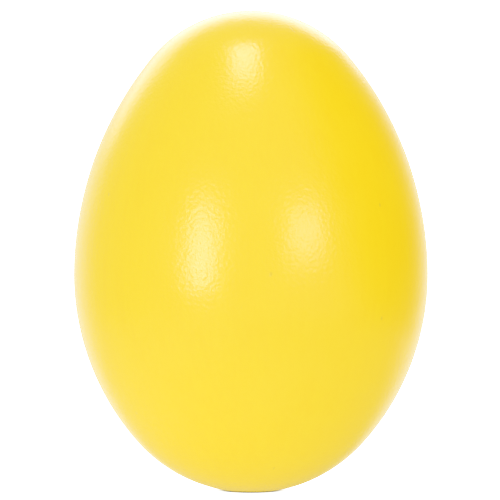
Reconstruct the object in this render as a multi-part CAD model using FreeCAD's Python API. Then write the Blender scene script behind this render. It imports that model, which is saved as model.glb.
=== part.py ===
"""Egg shaker: a turned and painted wooden egg with loose steel shot sealed in a drilled chamber.

Frame: millimetres, +Z up along the egg's axis, origin at the centre of the flat foot.
The egg stands on its blunt end with its narrow tip upwards.
"""

import FreeCAD, Part
import math
import os

# Outside of the egg
EGG_HEIGHT = 64.0  # foot to tip
GIRTH_DIAMETER = 47.2
GIRTH_HEIGHT = 28.8  # level of the widest section
BLUNT_RADIUS = 20.2  # the rounding of the lower end
TIP_RADIUS = 17.1  # the rounding of the upper end
FOOT_DIAMETER = 6.4  # the flat that the egg stands on
FOOT_EDGE_RADIUS = 1.5  # softens the rim of the flat

# Chamber: a flat-ended hole drilled up from the blunt end and closed by a glued plug
BORE_DIAMETER = 26.0
ROOF_HEIGHT = 50.0  # the flat end of the hole
DRILL_POINT_DIAMETER = 3.0  # the mark of the drill's centre point in the roof
DRILL_POINT_DEPTH = 1.5
FLOOR_HEIGHT = 9.0  # inner face of the plug
PLUG_CHAMFER = 0.6  # lead-in that lets the plug enter the hole

# Shot: standard steel balls, at rest in one layer of rings on the plug
SHOT_DIAMETER = 3.5
SHOT_PITCH = 3.7  # distance from one ring to the next
SHOT_RINGS = 3  # around one central ball, so 1 + 6 + 12 + 18 balls
SHOT_LIFT = 0.05  # resting gap over the floor
RING_TURN = 17.0  # degrees that each ring is turned from the one inside it

AXIS = FreeCAD.Vector(0, 0, 1)


def point(radius, height):
    """A point of the half section, in the plane Y = 0."""
    return FreeCAD.Vector(radius, 0, height)


def arc(centre, radius, start_angle, end_angle):
    """An arc of the half section. Angles are in radians, from the +X direction towards +Z."""
    angles = (start_angle, (start_angle + end_angle) / 2, end_angle)
    on_arc = [centre + radius * point(math.cos(a), math.sin(a)) for a in angles]
    return Part.Arc(*on_arc).toShape()


def flank_radius(end_radius, rise):
    """Radius of the flank that is upright at the girth and runs tangent into an end rounding.

    rise is the distance along the axis from the girth to the centre of that rounding.
    """
    girth_radius = GIRTH_DIAMETER / 2
    return (girth_radius**2 + rise**2 - end_radius**2) / (2 * (girth_radius - end_radius))


def egg():
    """The whole egg as one solid: a flat foot and five tangent arcs, turned about the axis."""
    girth_radius = GIRTH_DIAMETER / 2
    foot_radius = FOOT_DIAMETER / 2
    inside_edge = BLUNT_RADIUS - FOOT_EDGE_RADIUS
    edge_centre = point(foot_radius, FOOT_EDGE_RADIUS)
    blunt_centre = edge_centre + point(-foot_radius, math.sqrt(inside_edge**2 - foot_radius**2))
    tip_centre = point(0, EGG_HEIGHT - TIP_RADIUS)
    blunt_drop = GIRTH_HEIGHT - blunt_centre.z
    tip_rise = tip_centre.z - GIRTH_HEIGHT
    lower_flank = flank_radius(BLUNT_RADIUS, blunt_drop)
    upper_flank = flank_radius(TIP_RADIUS, tip_rise)
    lower_centre = point(girth_radius - lower_flank, GIRTH_HEIGHT)
    upper_centre = point(girth_radius - upper_flank, GIRTH_HEIGHT)
    edge_join = -math.acos(foot_radius / inside_edge)
    blunt_join = -math.asin(blunt_drop / (lower_flank - BLUNT_RADIUS))
    tip_join = math.asin(tip_rise / (upper_flank - TIP_RADIUS))
    outline = [
        Part.makeLine(point(0, 0), point(foot_radius, 0)),
        arc(edge_centre, FOOT_EDGE_RADIUS, -math.pi / 2, edge_join),
        arc(blunt_centre, BLUNT_RADIUS, edge_join, blunt_join),
        arc(lower_centre, lower_flank, blunt_join, 0),
        arc(upper_centre, upper_flank, 0, tip_join),
        arc(tip_centre, TIP_RADIUS, tip_join, math.pi / 2),
        Part.makeLine(point(0, EGG_HEIGHT), point(0, 0)),
    ]
    half_section = Part.Face(Part.Wire(outline))
    return half_section.revolve(FreeCAD.Vector(), AXIS, 360)


def bore():
    """The drilled hole, from below the foot to its flat roof with the drill's point mark."""
    start = -FLOOR_HEIGHT
    hole = Part.makeCylinder(BORE_DIAMETER / 2, ROOF_HEIGHT - start, point(0, start))
    mark = Part.makeCone(DRILL_POINT_DIAMETER / 2, 0, DRILL_POINT_DEPTH, point(0, ROOF_HEIGHT))
    return hole.fuse(mark)


def shell():
    """The turned body of the egg, with the chamber drilled into it."""
    return egg().cut(bore())


def base_plug():
    """The plug glued into the mouth of the hole. Its outer face carries on the egg and the foot."""
    start = -FLOOR_HEIGHT
    blank = Part.makeCylinder(BORE_DIAMETER / 2, FLOOR_HEIGHT - start, point(0, start))
    inner_rim = [e for e in blank.Edges if e.Closed and e.BoundBox.ZMin > 0]
    return egg().common(blank.makeChamfer(PLUG_CHAMFER, inner_rim))


def shot_centres():
    """Resting centre of each ball: one on the axis, then rings of 6, 12 and 18."""
    height = FLOOR_HEIGHT + SHOT_DIAMETER / 2 + SHOT_LIFT
    centres = [point(0, height)]
    for ring in range(1, SHOT_RINGS + 1):
        count = 6 * ring
        for step in range(count):
            angle = math.radians(360 * step / count + RING_TURN * ring)
            radius = SHOT_PITCH * ring
            place = FreeCAD.Vector(radius * math.cos(angle), radius * math.sin(angle), height)
            centres.append(place)
    return centres


def parts():
    """Every sub-part by name."""
    made = {"shell": shell(), "base_plug": base_plug()}
    for number, centre in enumerate(shot_centres(), start=1):
        made[f"shot_{number:02d}"] = Part.makeSphere(SHOT_DIAMETER / 2, centre)
    return made


def main():
    os.makedirs("parts", exist_ok=True)
    for name, shape in parts().items():
        solid = shape.Solids[0]
        if len(shape.Solids) != 1 or not solid.isValid():
            raise RuntimeError(f"{name} is not one valid solid")
        solid.exportStep(f"parts/{name}.step")
        box = solid.BoundBox
        print(f"{name:10s} {solid.Volume:9.1f} mm3  z {box.ZMin:6.2f} to {box.ZMax:6.2f}")


main()
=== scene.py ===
"""Looks of the egg shaker: a painted wooden egg, its glued plug, and the steel shot sealed inside.

Metres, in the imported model's own frame: +Z up the egg's axis, origin at the centre of the foot.
"""

import math
import random

import bpy
from mathutils import Euler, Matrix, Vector, noise


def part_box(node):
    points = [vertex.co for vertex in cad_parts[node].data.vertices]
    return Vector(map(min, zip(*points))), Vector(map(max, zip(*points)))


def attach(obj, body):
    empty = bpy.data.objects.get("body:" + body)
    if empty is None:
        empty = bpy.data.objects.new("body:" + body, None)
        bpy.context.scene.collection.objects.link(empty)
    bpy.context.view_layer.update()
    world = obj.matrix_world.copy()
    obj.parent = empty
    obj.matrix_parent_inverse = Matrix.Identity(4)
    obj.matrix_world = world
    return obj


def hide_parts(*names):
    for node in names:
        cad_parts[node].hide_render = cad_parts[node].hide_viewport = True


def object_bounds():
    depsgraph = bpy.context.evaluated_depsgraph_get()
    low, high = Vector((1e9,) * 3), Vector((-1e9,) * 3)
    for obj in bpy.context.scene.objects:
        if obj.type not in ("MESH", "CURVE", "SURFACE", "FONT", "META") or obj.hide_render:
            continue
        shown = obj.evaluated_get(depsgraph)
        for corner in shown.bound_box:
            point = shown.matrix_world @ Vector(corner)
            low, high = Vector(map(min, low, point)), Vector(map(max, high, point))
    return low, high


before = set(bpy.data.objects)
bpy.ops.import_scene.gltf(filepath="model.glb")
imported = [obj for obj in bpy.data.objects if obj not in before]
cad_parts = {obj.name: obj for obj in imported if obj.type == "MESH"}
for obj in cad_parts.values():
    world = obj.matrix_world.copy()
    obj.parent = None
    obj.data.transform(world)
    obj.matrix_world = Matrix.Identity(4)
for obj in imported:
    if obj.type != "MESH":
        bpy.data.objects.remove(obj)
cad_low, cad_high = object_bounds()
plug_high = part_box("base_plug")[1]

MM = 0.001
MICRON = 1e-6

# The egg, as the CAD turns it
EGG_HEIGHT = cad_high.z
GIRTH_RADIUS = cad_high.x
GIRTH_HEIGHT = 28.8 * MM
BLUNT_RADIUS = 20.2 * MM
TIP_RADIUS = 17.1 * MM
FOOT_RADIUS = 3.2 * MM
FOOT_EDGE_RADIUS = 1.5 * MM
BORE_RADIUS = plug_high.x
FLOOR_HEIGHT = plug_high.z
ROOF_HEIGHT = 50 * MM
DRILL_POINT_RADIUS = 1.5 * MM
DRILL_POINT_DEPTH = 1.5 * MM
PLUG_CHAMFER = 0.6 * MM

# Mesh density
RING_STEP = 0.42 * MM  # between rings on the painted outside
SEAM_STEP = 0.1 * MM  # between rings close to the plug's seam
SEAM_ZONE = 0.7 * MM
INSIDE_STEP = 1.2 * MM
FINEST = 384  # segments of a wide painted ring; narrower rings have half as many, and so on
INSIDE_SEGMENTS = 96

# Paint
RIPPLE_SIZE = 0.45 * MM
RIPPLE_DEPTH = 42 * MICRON
PORE_CELL = 15 * MM  # the paint is shared out in cells of this size, with a pore in each
PORE_RADIUS = 0.23 * MM  # of the widest
SEAM_DEPTH = 3 * MICRON

# Stage
FLOOR_RADIUS = 100 * MM
FLOOR_SEGMENTS = 96
LIGHT_DISTANCE = 1.0  # from the middle of the egg

# The view: almost level with the egg and far off, with the egg almost filling the height
VIEW_WIDTH = 66.7 * MM
VIEW_CENTRE = Vector((-0.12 * MM, 0, 32.1 * MM))
VIEW_ELEVATION = 2  # degrees
LENS_MM = 300.0
SENSOR_MM = 36.0
CAMERA_DISTANCE = VIEW_WIDTH * LENS_MM / SENSOR_MM

random.seed(7)
scene = bpy.context.scene


def toward(azimuth, elevation):
    """Unit vector from the egg. Azimuth 0 is toward the camera, positive to its right; degrees."""
    a = math.radians(azimuth)
    e = math.radians(elevation)
    return Vector((math.sin(a) * math.cos(e), -math.cos(a) * math.cos(e), math.sin(e)))


def aim(thing, place, target):
    """Puts a camera or light at a place, facing the target."""
    thing.location = place
    thing.rotation_euler = (target - place).to_track_quat("-Z", "Y").to_euler()


# ---------------------------------------------------------------- nodes


class Nodes:
    """Short calls for building a node tree. Sockets, numbers and colours all serve as inputs."""

    def __init__(self, tree):
        self.tree = tree
        tree.nodes.clear()

    def put(self, kind, inputs=(), **settings):
        made = self.tree.nodes.new(kind)
        for name, value in settings.items():
            setattr(made, name, value)
        for key, value in dict(inputs).items():
            if isinstance(value, bpy.types.NodeSocket):
                self.tree.links.new(value, made.inputs[key])
            else:
                made.inputs[key].default_value = value
        return made

    def math(self, operation, *values):
        made = self.put("ShaderNodeMath", dict(enumerate(values)), operation=operation)
        return made.outputs[0]

    def scaled(self, vector, factors):
        inputs = {0: vector, 1: factors}
        return self.put("ShaderNodeVectorMath", inputs, operation="MULTIPLY").outputs[0]

    def noise(self, vector, size, detail=2.0, rough=0.5):
        """Noise from 0 to 1 with features of about the given size in metres."""
        inputs = {"Vector": vector, "Scale": 1 / size, "Detail": detail, "Roughness": rough}
        return self.put("ShaderNodeTexNoise", inputs).outputs["Fac"]

    def ramp(self, value, low, high, to_low=0.0, to_high=1.0):
        inputs = {"Value": value, "From Min": low, "From Max": high}
        inputs |= {"To Min": to_low, "To Max": to_high}
        made = self.put("ShaderNodeMapRange", inputs, interpolation_type="SMOOTHSTEP")
        return made.outputs["Result"]

    def blend(self, share, first, second):
        inputs = {0: share, 6: first, 7: second}
        return self.put("ShaderNodeMix", inputs, data_type="RGBA").outputs[2]

    def bump(self, height, depth, normal=None):
        """A bump whose height of 0 to 1 stands for depth in metres."""
        inputs = {"Height": height, "Distance": depth, "Strength": 1.0}
        if normal is not None:
            inputs["Normal"] = normal
        return self.put("ShaderNodeBump", inputs).outputs["Normal"]


def rgb(red, green, blue):
    return (red, green, blue, 1.0)


def new_material(name):
    material = bpy.data.materials.new(name)
    material.use_nodes = True
    return material, Nodes(material.node_tree)


def finish_material(nodes, shader):
    nodes.put("ShaderNodeOutputMaterial", {"Surface": shader.outputs[0]})


# ---------------------------------------------------------------- materials

PAINT = rgb(0.945, 0.715, 0.010)
PAINT_DEEP = rgb(0.935, 0.695, 0.009)
PAINT_THIN = rgb(0.945, 0.715, 0.013)
PORE = rgb(0.42, 0.28, 0.03)


def painted_wood():
    """Satin yellow paint: a fine ripple, wood grain telegraphing along the axis, and a few pores."""
    material, n = new_material("painted_wood")
    place = n.put("ShaderNodeTexCoord").outputs["Object"]
    lengthwise = n.scaled(place, (1.0, 1.0, 0.045))
    ripple = n.noise(place, RIPPLE_SIZE, 1.5, 0.5)
    grain = n.noise(lengthwise, 0.8 * MM, 3.0, 0.6)
    broad_grain = n.noise(lengthwise, 3.5 * MM, 2.0, 0.5)
    cloud = n.noise(place, 9 * MM, 2.0, 0.5)

    split = n.put("ShaderNodeSeparateXYZ", {0: place})
    across = n.math("MULTIPLY", n.math("ARCTAN2", split.outputs[0], split.outputs[1]), GIRTH_RADIUS)
    along = n.math("MULTIPLY", split.outputs[2], 0.6)
    unrolled = n.put("ShaderNodeCombineXYZ", {0: across, 1: along}).outputs[0]
    inputs = {"Vector": unrolled, "Scale": 1 / PORE_CELL}
    spots = n.put("ShaderNodeTexVoronoi", inputs, voronoi_dimensions="2D")
    spot_size = n.put("ShaderNodeSeparateColor", {0: spots.outputs["Color"]}).outputs[0]
    widest = PORE_RADIUS / PORE_CELL
    edge = n.math("MULTIPLY", spot_size, widest)
    inside = n.math("SUBTRACT", edge, spots.outputs["Distance"])
    pore = n.ramp(inside, -0.3 * widest, 0.3 * widest)

    both_grains = n.math("MULTIPLY_ADD", grain, 0.6, n.math("MULTIPLY", broad_grain, 0.4))
    streaks = n.ramp(both_grains, 0.36, 0.64)
    colour = n.blend(streaks, PAINT, PAINT_DEEP)
    colour = n.blend(n.math("MULTIPLY", n.ramp(cloud, 0.35, 0.75), 0.5), colour, PAINT_THIN)
    colour = n.blend(n.math("MULTIPLY", pore, 0.3), colour, PORE)
    rough = n.math("ADD", n.ramp(cloud, 0.3, 0.7, 0.20, 0.23), n.math("MULTIPLY", grain, 0.03))

    normal = n.bump(broad_grain, 4 * MICRON)
    normal = n.bump(grain, 3 * MICRON, normal)
    normal = n.bump(ripple, RIPPLE_DEPTH, normal)
    normal = n.bump(n.math("SUBTRACT", 1.0, pore), 25 * MICRON, normal)
    inputs = {"Base Color": colour, "Roughness": rough, "IOR": 1.6, "Normal": normal}
    finish_material(n, n.put("ShaderNodeBsdfPrincipled", inputs))
    return material


BEECH_LIGHT = rgb(0.70, 0.47, 0.27)
BEECH_DARK = rgb(0.50, 0.30, 0.15)
BEECH_FLECK = rgb(0.33, 0.18, 0.08)
AXIS_FROM_PITH = (41 * MM, 17 * MM, 0)  # the egg's axis, seen from the middle of the tree's rings


def bare_wood(name, ring_marks):
    """Unpainted beech. ring_marks is the spacing of a cutter's circular marks about the axis."""
    material, n = new_material(name)
    place = n.put("ShaderNodeTexCoord").outputs["Object"]
    lengthwise = n.scaled(place, (1.0, 1.0, 0.06))
    inputs = {0: lengthwise, 1: AXIS_FROM_PITH}
    from_pith = n.put("ShaderNodeVectorMath", inputs, operation="ADD").outputs[0]
    wobble = n.noise(lengthwise, 14 * MM, 2.0, 0.5)
    pith_distance = n.put("ShaderNodeVectorMath", {0: from_pith}, operation="LENGTH").outputs["Value"]
    rings = n.math("MULTIPLY_ADD", wobble, 3 * MM, pith_distance)
    year = n.math("PINGPONG", rings, 1.1 * MM)
    late_wood = n.ramp(year, 0.55 * MM, 1.1 * MM)
    fibres = n.noise(lengthwise, 0.25 * MM, 3.0, 0.6)
    inputs = {"Vector": n.scaled(place, (1.0, 1.0, 0.25)), "Scale": 1 / (0.7 * MM)}
    dashes = n.put("ShaderNodeTexVoronoi", inputs)
    fleck = n.ramp(dashes.outputs["Distance"], 0.22, 0.12)
    colour = n.blend(n.math("MULTIPLY", late_wood, 0.55), BEECH_LIGHT, BEECH_DARK)
    colour = n.blend(n.math("MULTIPLY", fibres, 0.35), colour, BEECH_DARK)
    colour = n.blend(n.math("MULTIPLY", fleck, 0.6), colour, BEECH_FLECK)
    rough = n.ramp(fibres, 0.2, 0.8, 0.55, 0.8)

    split = n.put("ShaderNodeSeparateXYZ", {0: place})
    level = n.put("ShaderNodeCombineXYZ", {0: split.outputs[0], 1: split.outputs[1]}).outputs[0]
    radius = n.put("ShaderNodeVectorMath", {0: level}, operation="LENGTH").outputs["Value"]
    cut = n.math("PINGPONG", n.math("ADD", radius, split.outputs[2]), ring_marks)
    normal = n.bump(n.math("DIVIDE", cut, ring_marks), 12 * MICRON)
    normal = n.bump(fibres, 20 * MICRON, normal)
    normal = n.bump(n.math("SUBTRACT", 1.0, fleck), 15 * MICRON, normal)
    inputs = {"Base Color": colour, "Roughness": rough, "IOR": 1.45, "Normal": normal}
    finish_material(n, n.put("ShaderNodeBsdfPrincipled", inputs))
    return material


STEEL = rgb(0.55, 0.56, 0.57)
STEEL_DULL = rgb(0.36, 0.36, 0.36)


def steel():
    """Polished steel dulled by rubbing: fine scratches, tiny dents and grey patches."""
    material, n = new_material("steel_shot")
    place = n.put("ShaderNodeTexCoord").outputs["Object"]
    patch = n.noise(place, 1.2 * MM, 4.0, 0.6)
    scratch = n.noise(n.scaled(place, (1.0, 0.05, 0.4)), 0.09 * MM, 2.0, 0.5)
    scratch = n.ramp(scratch, 0.6, 0.72)
    dents = n.put("ShaderNodeTexVoronoi", {"Vector": place, "Scale": 1 / (0.6 * MM)})
    dent = n.ramp(dents.outputs["Distance"], 0.28, 0.1)
    colour = n.blend(n.ramp(patch, 0.45, 0.75), STEEL, STEEL_DULL)
    rough = n.math("ADD", n.ramp(patch, 0.3, 0.8, 0.14, 0.42), n.math("MULTIPLY", scratch, 0.15))
    normal = n.bump(n.math("SUBTRACT", 1.0, dent), 6 * MICRON)
    normal = n.bump(n.math("SUBTRACT", 1.0, scratch), 1.5 * MICRON, normal)
    inputs = {"Base Color": colour, "Metallic": 1.0, "Roughness": rough, "Normal": normal}
    finish_material(n, n.put("ShaderNodeBsdfPrincipled", inputs))
    return material


# ---------------------------------------------------------------- turned meshes


def arc(centre, radius, start, end, step):
    """Points (radius from the axis, height) along an arc. Angles in radians from outward to up."""
    count = max(1, round(abs(end - start) * radius / step))
    angles = [start + (end - start) * i / count for i in range(count + 1)]
    return [(centre[0] + radius * math.cos(a), centre[1] + radius * math.sin(a)) for a in angles]


def line(start, end, step):
    length = math.dist(start, end)
    count = max(1, round(length / step))
    shares = [i / count for i in range(count + 1)]
    return [tuple(a + (b - a) * s for a, b in zip(start, end)) for s in shares]


def joined(*runs):
    """Runs of points end to end, each shared point once."""
    points = [runs[0][0]]
    for run in runs:
        points += run[1:]
    return points


def flank_radius(end_radius, rise):
    """Radius of the flank that is upright at the girth and tangent to an end rounding."""
    return (GIRTH_RADIUS**2 + rise**2 - end_radius**2) / (2 * (GIRTH_RADIUS - end_radius))


INSIDE_EDGE = BLUNT_RADIUS - FOOT_EDGE_RADIUS
BLUNT_CENTRE = FOOT_EDGE_RADIUS + math.sqrt(INSIDE_EDGE**2 - FOOT_RADIUS**2)
SEAM_ANGLE = -math.acos(BORE_RADIUS / BLUNT_RADIUS)
SEAM_HEIGHT = BLUNT_CENTRE + BLUNT_RADIUS * math.sin(SEAM_ANGLE)
SEAM_TURN = SEAM_ZONE / BLUNT_RADIUS  # the seam zone as an angle of the blunt rounding


def plug_outline():
    """Outside of the plug, from the foot's centre to the seam."""
    edge_join = -math.acos(FOOT_RADIUS / INSIDE_EDGE)
    blunt = (0, BLUNT_CENTRE)
    return joined(
        line((0, 0), (FOOT_RADIUS, 0), RING_STEP),
        arc((FOOT_RADIUS, FOOT_EDGE_RADIUS), FOOT_EDGE_RADIUS, -math.pi / 2, edge_join, SEAM_STEP),
        arc(blunt, BLUNT_RADIUS, edge_join, SEAM_ANGLE - SEAM_TURN, RING_STEP),
        arc(blunt, BLUNT_RADIUS, SEAM_ANGLE - SEAM_TURN, SEAM_ANGLE, SEAM_STEP),
    )


def shell_outline():
    """Outside of the shell, from the seam to the tip."""
    tip_centre = EGG_HEIGHT - TIP_RADIUS
    drop = GIRTH_HEIGHT - BLUNT_CENTRE
    rise = tip_centre - GIRTH_HEIGHT
    lower = flank_radius(BLUNT_RADIUS, drop)
    upper = flank_radius(TIP_RADIUS, rise)
    blunt_join = -math.asin(drop / (lower - BLUNT_RADIUS))
    tip_join = math.asin(rise / (upper - TIP_RADIUS))
    blunt = (0, BLUNT_CENTRE)
    return joined(
        arc(blunt, BLUNT_RADIUS, SEAM_ANGLE, SEAM_ANGLE + SEAM_TURN, SEAM_STEP),
        arc(blunt, BLUNT_RADIUS, SEAM_ANGLE + SEAM_TURN, blunt_join, RING_STEP),
        arc((GIRTH_RADIUS - lower, GIRTH_HEIGHT), lower, blunt_join, 0, RING_STEP),
        arc((GIRTH_RADIUS - upper, GIRTH_HEIGHT), upper, 0, tip_join, RING_STEP),
        arc((0, tip_centre), TIP_RADIUS, tip_join, math.pi / 2, RING_STEP),
    )


def painted_segments(radius):
    """How many segments a painted ring has: halved each time the radius halves."""
    halvings = max(0, math.ceil(math.log2(0.52 * GIRTH_RADIUS / max(radius, MM / 4))))
    return max(12, FINEST >> halvings)


def inside_segments(radius):
    return max(12, INSIDE_SEGMENTS >> max(0, math.ceil(math.log2(4 * MM / max(radius, MM / 2)))))


def turned(name, rings):
    """A closed mesh of revolution. rings is a list of (radius, height, segments, finish index).

    Neighbouring rings have equal counts, or one has twice the other's. A radius of 0 is a pole.
    """
    verts = []
    faces = []
    finishes = []
    loops = []
    for radius, height, count, _ in rings:
        start = len(verts)
        if radius < 1e-7:
            verts.append((0, 0, height))
            loops.append([start])
            continue
        for k in range(count):
            angle = 2 * math.pi * k / count
            verts.append((radius * math.cos(angle), radius * math.sin(angle), height))
        loops.append(list(range(start, start + count)))
    for lower, upper, ring in zip(loops, loops[1:], rings[1:]):
        made = strip(lower, upper)
        faces += made
        finishes += [ring[3]] * len(made)
    mesh = bpy.data.meshes.new(name)
    mesh.from_pydata(verts, [], faces)
    mesh.polygons.foreach_set("material_index", finishes)
    mesh.update()
    return mesh


def strip(lower, upper):
    """Faces between two rings of vertex numbers, facing outward as the outline runs upward."""
    if len(lower) < len(upper):
        return [tuple(reversed(face)) for face in strip(upper, lower)]
    size = len(lower)
    after = lower[1:] + lower[:1]
    if len(upper) == 1:
        return [(a, b, upper[0]) for a, b in zip(lower, after)]
    if len(upper) == size:
        over = upper[1:] + upper[:1]
        return [(a, b, d, c) for a, b, c, d in zip(lower, after, upper, over)]
    faces = []
    for k, near in enumerate(upper):
        far = upper[(k + 1) % len(upper)]
        left, middle, right = lower[2 * k], lower[2 * k + 1], lower[(2 * k + 2) % size]
        faces += [(left, middle, near), (middle, far, near), (middle, right, far)]
    return faces


def paint_relief(place):
    """How far hand turning, sanding and brushing leave the paint off the true egg."""
    lengthwise = Vector((place.x, place.y, 0.06 * place.z))
    swell = 30 * MICRON * noise.noise(place / (11 * MM))
    sanding = 5 * MICRON * noise.noise(place / (3 * MM) + Vector((5, 1, 3)))
    grain = 2.5 * MICRON * noise.noise(lengthwise / (1.3 * MM))
    around = math.hypot(place.x, place.y)
    from_seam = (around - BORE_RADIUS) / (0.15 * MM) if place.z < FLOOR_HEIGHT else 9.0
    seam = -SEAM_DEPTH * math.exp(-min(from_seam**2, 50))
    above_foot = min(1.0, place.z / (0.5 * MM))
    return (swell + sanding + grain) * above_foot + seam


def weather(mesh, painted):
    """Moves the vertices of painted faces along their normals by the relief."""
    on_paint = {v for face in mesh.polygons if face.material_index == painted for v in face.vertices}
    directions = [Vector(n.vector) for n in mesh.vertex_normals]
    for number in on_paint:
        vertex = mesh.vertices[number]
        vertex.co += egg_normal(vertex.co, directions[number]) * paint_relief(vertex.co)


def egg_normal(place, fallback):
    """Near the seam, the outward normal of the blunt rounding, so that both meshes move alike there."""
    if place.z < FLOOR_HEIGHT and math.hypot(place.x, place.y) > BORE_RADIUS - SEAM_ZONE:
        return (place - Vector((0, 0, BLUNT_CENTRE))).normalized()
    return fallback


def new_piece(name, mesh, materials, body, slot, *nodes):
    """Shades, links and attaches the mesh that stands in for the given nodes, and hides those nodes."""
    for material in materials:
        mesh.materials.append(material)
    mesh.polygons.foreach_set("use_smooth", [True] * len(mesh.polygons))
    mesh.set_sharp_from_angle(angle=math.radians(32))
    mesh.update()
    piece = bpy.data.objects.new(name, mesh)
    scene.collection.objects.link(piece)
    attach(piece, body)
    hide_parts(*nodes)
    return piece


def make_shell(paint, wood):
    outside = [(r, z, painted_segments(r), 0) for r, z in shell_outline()]
    outside[-1] = (0, EGG_HEIGHT, 1, 0)
    bore_wall = line((BORE_RADIUS, SEAM_HEIGHT), (BORE_RADIUS, ROOF_HEIGHT), INSIDE_STEP)
    roof = line((BORE_RADIUS, ROOF_HEIGHT), (DRILL_POINT_RADIUS, ROOF_HEIGHT), INSIDE_STEP)
    mark = line((DRILL_POINT_RADIUS, ROOF_HEIGHT), (0, ROOF_HEIGHT + DRILL_POINT_DEPTH), INSIDE_STEP / 4)
    inside = [(r, z, inside_segments(r), 1) for r, z in joined(bore_wall, roof, mark)][1:]
    inside[0] = (*inside[0][:2], FINEST // 2, 1)  # a step between the two sides' counts
    inside[-1] = (0, inside[-1][1], 1, 1)
    outside[0] = (*outside[0][:3], 1)  # the strip that ends at the seam is still bare wood
    rings = inside[::-1] + outside
    mesh = turned("shell_painted", rings)
    weather(mesh, 0)
    return new_piece("shell_painted", mesh, [paint, wood], "egg", "painted_wood", "shell")


def make_plug(paint, wood):
    outside = [(r, z, painted_segments(r), 0) for r, z in plug_outline()]
    outside[0] = (0, 0, 1, 0)
    side = line((BORE_RADIUS, SEAM_HEIGHT), (BORE_RADIUS, FLOOR_HEIGHT - PLUG_CHAMFER), INSIDE_STEP)
    chamfer = line(side[-1], (BORE_RADIUS - PLUG_CHAMFER, FLOOR_HEIGHT), INSIDE_STEP / 4)
    face = line(chamfer[-1], (0, FLOOR_HEIGHT), INSIDE_STEP)
    inside = [(r, z, inside_segments(r), 1) for r, z in joined(side, chamfer, face)][1:]
    inside[0] = (*inside[0][:2], FINEST // 2, 1)  # a step between the two sides' counts
    inside[-1] = (0, FLOOR_HEIGHT, 1, 1)
    mesh = turned("plug_painted", outside + inside)
    weather(mesh, 0)
    return new_piece("plug_painted", mesh, [paint, wood], "egg", "painted_wood", "base_plug")


# ---------------------------------------------------------------- shot


def ball_mesh(name, radius, side):
    """A ball from a cube's six square grids, so that its faces are even, with slight flats."""
    verts = {}
    faces = []
    grid = range(side + 1)

    def vertex(key):
        point = Vector(math.tan(math.pi / 4 * (2 * c / side - 1)) for c in key).normalized()
        flat = 1 - 0.0015 * noise.noise(point * 2.3)
        verts.setdefault(key, (len(verts), point * radius * flat))
        return verts[key][0]

    for axis in range(3):
        for end in (0, side):
            for i in grid[:-1]:
                for j in grid[:-1]:
                    corners = [(i, j), (i + 1, j), (i + 1, j + 1), (i, j + 1)]
                    keys = [c[:axis] + (end,) + c[axis:] for c in corners]
                    ring = [vertex(key) for key in keys]
                    upright = (axis != 1) == (end == side)
                    faces.append(ring if upright else ring[::-1])
    mesh = bpy.data.meshes.new(name)
    mesh.from_pydata([place for _, place in verts.values()], [], faces)
    return mesh


BALL_SIDE = 14  # squares along each edge of the cube that a ball is made from


def make_shot(material):
    """A steel ball for each shot node, each turned its own way."""
    for name in sorted(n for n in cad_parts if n.startswith("shot_")):
        low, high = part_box(name)
        mesh = ball_mesh(f"{name}_ball", (high.z - low.z) / 2, BALL_SIDE)
        turn = Euler([random.uniform(0, 2 * math.pi) for _ in range(3)]).to_matrix().to_4x4()
        mesh.transform(turn)
        piece = bpy.data.objects.new(f"{name}_ball", mesh)
        piece.location = (low + high) / 2
        scene.collection.objects.link(piece)
        mesh.materials.append(material)
        mesh.polygons.foreach_set("use_smooth", [True] * len(mesh.polygons))
        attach(piece, name)
        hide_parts(name)


# ---------------------------------------------------------------- stage


def make_camera():
    data = bpy.data.cameras.new("camera")
    data.lens = LENS_MM
    data.sensor_width = SENSOR_MM
    camera = bpy.data.objects.new("camera", data)
    scene.collection.objects.link(camera)
    place = VIEW_CENTRE + toward(0, VIEW_ELEVATION) * CAMERA_DISTANCE
    aim(camera, place, VIEW_CENTRE)
    data.clip_start = 0.01
    data.clip_end = 20
    scene.camera = camera


# Points of the tone curve, scene light to picture light, where a camera starts to round off
SHOULDER = ((0.6, 0.6), (0.8, 0.765), (1.0, 0.89))
WHITE = 1.28  # the scene light that comes out as full white


def make_tone():
    """A plain display transform with a soft shoulder that keeps the hue, so that glints turn cream."""
    view = scene.view_settings
    view.view_transform = "Standard"
    view.look = "None"
    view.use_curve_mapping = True
    mapping = view.curve_mapping
    mapping.tone = "FILMLIKE"
    mapping.white_level = (WHITE, WHITE, WHITE)
    curve = mapping.curves[3]
    for light, picture in SHOULDER:
        curve.points.new(light / WHITE, picture)
    mapping.update()


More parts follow.
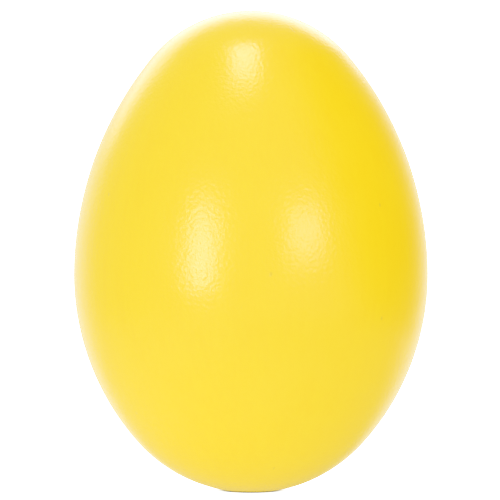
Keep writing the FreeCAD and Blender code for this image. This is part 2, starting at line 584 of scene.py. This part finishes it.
def make_floor():
    """A glowing disc that the egg stands on: white to the camera, with painted light and a painted contact
    shadow at the foot.
    """
    count = FLOOR_SEGMENTS
    radii = [FLOOR_RADIUS * share for share in (1.0, 0.7, 0.5, 0.3)]
    angles = [2 * math.pi * k / count for k in range(count)]
    verts = [(0, 0, 0)]
    for radius in radii:
        verts += [(radius * math.cos(angle), radius * math.sin(angle), 0) for angle in angles]
    faces = []
    for ring in range(len(radii) - 1):
        a = 1 + ring * count
        for k in range(count):
            after = (k + 1) % count
            faces.append((a + k, a + after, a + count + after, a + count + k))
    last = 1 + (len(radii) - 1) * count
    faces += [(last + k, last + (k + 1) % count, 0) for k in range(count)]
    mesh = bpy.data.meshes.new("floor")
    mesh.from_pydata(verts, [], faces)
    material, n = new_material("white_floor")
    place = n.put("ShaderNodeTexCoord").outputs["Object"]
    tooth = n.noise(place, 2 * MM, 3.0, 0.6)
    path = n.put("ShaderNodeLightPath")
    split = n.put("ShaderNodeSeparateXYZ", {0: place})
    level = n.put("ShaderNodeCombineXYZ", {0: split.outputs[0], 1: split.outputs[1]}).outputs[0]
    distance = n.put("ShaderNodeVectorMath", {0: level}, operation="LENGTH").outputs["Value"]
    # painted light: the floor's glow is made brighter behind the egg and to its left, where light falls on
    # it
    painted_light_behind = n.ramp(n.math("DIVIDE", split.outputs[1], distance), 0.0, 0.8, 0.0, 0.95)
    painted_light_from_left = n.ramp(split.outputs[0], -40 * MM, 60 * MM, 0.50, 0.10)
    glow = n.math("MAXIMUM", painted_light_from_left, painted_light_behind)
    # painted light: the floor glows more for diffuse rays, so that it lights the egg from below like a lamp
    glow = n.math("MULTIPLY_ADD", path.outputs["Is Diffuse Ray"], 0.66, glow)
    # painted shadow: the glow fades to nothing close around the foot, as a contact shadow
    glow = n.math("MULTIPLY", glow, n.ramp(distance, FOOT_RADIUS, FOOT_RADIUS + 1.2 * MM))
    # painted shadow: to the camera the floor is white except close around the foot, as a contact shadow
    clear = n.ramp(distance, FOOT_RADIUS, FOOT_RADIUS + 2.5 * MM, 0.0, 1.6)
    glow = n.math("MULTIPLY_ADD", path.outputs["Is Camera Ray"], clear, glow)
    inputs = {"Base Color": rgb(0.17, 0.17, 0.17), "Roughness": n.ramp(tooth, 0.3, 0.7, 0.6, 0.7)}
    inputs |= {"Emission Color": rgb(1, 1, 1), "Emission Strength": glow}
    finish_material(n, n.put("ShaderNodeBsdfPrincipled", inputs))
    material.cycles.emission_sampling = "NONE"
    mesh.materials.append(material)
    floor = bpy.data.objects.new("floor", mesh)
    scene.collection.objects.link(floor)


def softbox(name, azimuth, elevation, width, height, radiance, tilt=0.0):
    """An area light. width and height are the angles it fills as the egg sees it, in degrees."""
    data = bpy.data.lights.new(name, "AREA")
    data.shape = "RECTANGLE"
    data.size = 2 * LIGHT_DISTANCE * math.tan(math.radians(width / 2))
    data.size_y = 2 * LIGHT_DISTANCE * math.tan(math.radians(height / 2))
    data.energy = radiance * math.pi * data.size * data.size_y
    light = bpy.data.objects.new(name, data)
    scene.collection.objects.link(light)
    middle = Vector((0, 0, EGG_HEIGHT / 2))
    aim(light, middle + toward(azimuth, elevation) * LIGHT_DISTANCE, middle)
    light.rotation_euler.rotate_axis("Z", math.radians(tilt))
    light.visible_camera = False
    return light


def fill(name, azimuth, radiance, colour):
    """A wide light from one side that shades the paint and doesn't show in its gloss."""
    light = softbox(name, azimuth, elevation=5, width=60, height=90, radiance=radiance)
    light.data.color = colour
    light.visible_glossy = False
    light.data.cycles.use_multiple_importance_sampling = False


def make_lights():
    """Three softboxes for the highlights, a panel behind for the pale rims, and two weak fills."""
    softbox("left_softbox", azimuth=-31.5, elevation=8, width=18, height=27, radiance=6.0, tilt=-2)
    softbox("right_softbox", azimuth=36, elevation=13.5, width=23, height=15, radiance=4.3)
    softbox("top_softbox", azimuth=-26, elevation=80.5, width=17.5, height=24.5, radiance=6.2, tilt=26)
    softbox("back_panel", azimuth=-171, elevation=30, width=64, height=28, radiance=1.4)
    fill("left_fill", azimuth=-95, radiance=0.3, colour=(1, 1, 1))
    fill("right_fill", azimuth=95, radiance=1.6, colour=(1, 0.90, 0.85))


def make_world():
    """Brightest behind the egg, dimmest at its sides, dark in a patch to its right; white to the camera."""
    world = bpy.data.worlds.new("studio")
    scene.world = world
    world.use_nodes = True
    n = Nodes(world.node_tree)
    direction = n.put("ShaderNodeTexCoord").outputs["Generated"]
    split = n.put("ShaderNodeSeparateXYZ", {0: direction})
    front = n.ramp(split.outputs[1], -0.85, 0.0, 0.83, 0.60)
    room = n.math("ADD", front, n.ramp(split.outputs[1], 0.48, 0.85, 0.0, 0.68))
    dark_patch = toward(106, 20)
    inputs = {0: direction, 1: dark_patch}
    facing = n.put("ShaderNodeVectorMath", inputs, operation="DOT_PRODUCT").outputs["Value"]
    room = n.math("MULTIPLY", room, n.ramp(facing, 0.50, 0.97, 1.0, 0.05))
    seen = n.put("ShaderNodeLightPath").outputs["Is Camera Ray"]
    strength = n.math("MULTIPLY_ADD", seen, 2.0, room)
    shader = n.put("ShaderNodeBackground", {"Color": rgb(1, 1, 1), "Strength": strength})
    n.put("ShaderNodeOutputWorld", {"Surface": shader.outputs[0]})


make_tone()
make_camera()
make_floor()
make_world()
make_lights()

paint_finish = painted_wood()
make_shell(paint_finish, bare_wood("bored_wood", 0.35 * MM))
make_plug(paint_finish, bare_wood("plug_wood", 0.5 * MM))
make_shot(steel())
